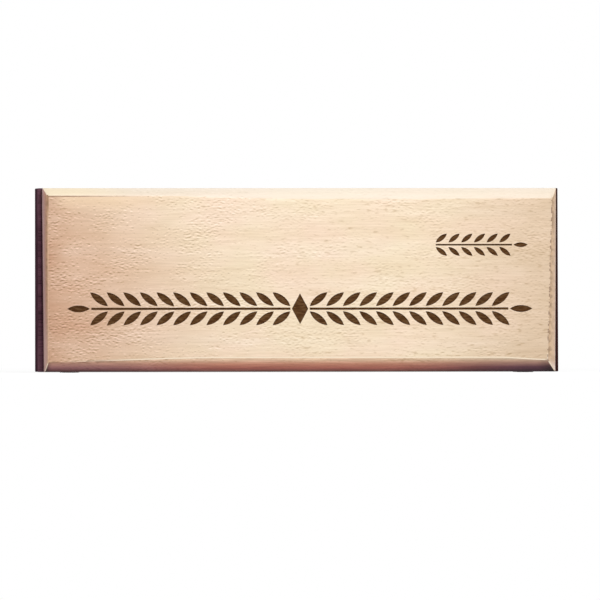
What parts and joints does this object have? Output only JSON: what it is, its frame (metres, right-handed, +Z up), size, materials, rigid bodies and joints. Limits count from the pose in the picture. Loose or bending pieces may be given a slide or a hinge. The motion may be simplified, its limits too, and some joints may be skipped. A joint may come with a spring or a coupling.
{
  "type": "desk name plate",
  "caption": "Long low desk name plate: a pale wood face board with bevelled edges and an engraved leafy garland, fixed to the leaning front of a dark wood block on low clear feet.",
  "frame": {"origin": "on the desk, under the middle of the plate's footprint", "axes": "+X along the plate to the reader's right, +Z up; the face looks along -Y and leans back a little"},
  "size_m": [0.254, 0.0352, 0.0898],
  "materials": {
    "beech_face": "pale steamed beech under a thin satin lacquer, with burnt brown engraving",
    "dark_hardwood": "dark rosewood-brown stained hardwood, matt",
    "beech_dowel": "bare turned beech",
    "zinc_steel": "zinc-plated steel, slightly dull",
    "clear_silicone": "clear soft silicone, slightly milky"
  },
  "bodies": {
    "root": {"face_board": "beech_face", "dark_block": "dark_hardwood", "left_locating_dowel": "beech_dowel", "right_locating_dowel": "beech_dowel", "face_screws": "zinc_steel", "front_left_foot": "clear_silicone", "front_right_foot": "clear_silicone", "rear_left_foot": "clear_silicone", "rear_right_foot": "clear_silicone"}
  },
  "joints": []
}
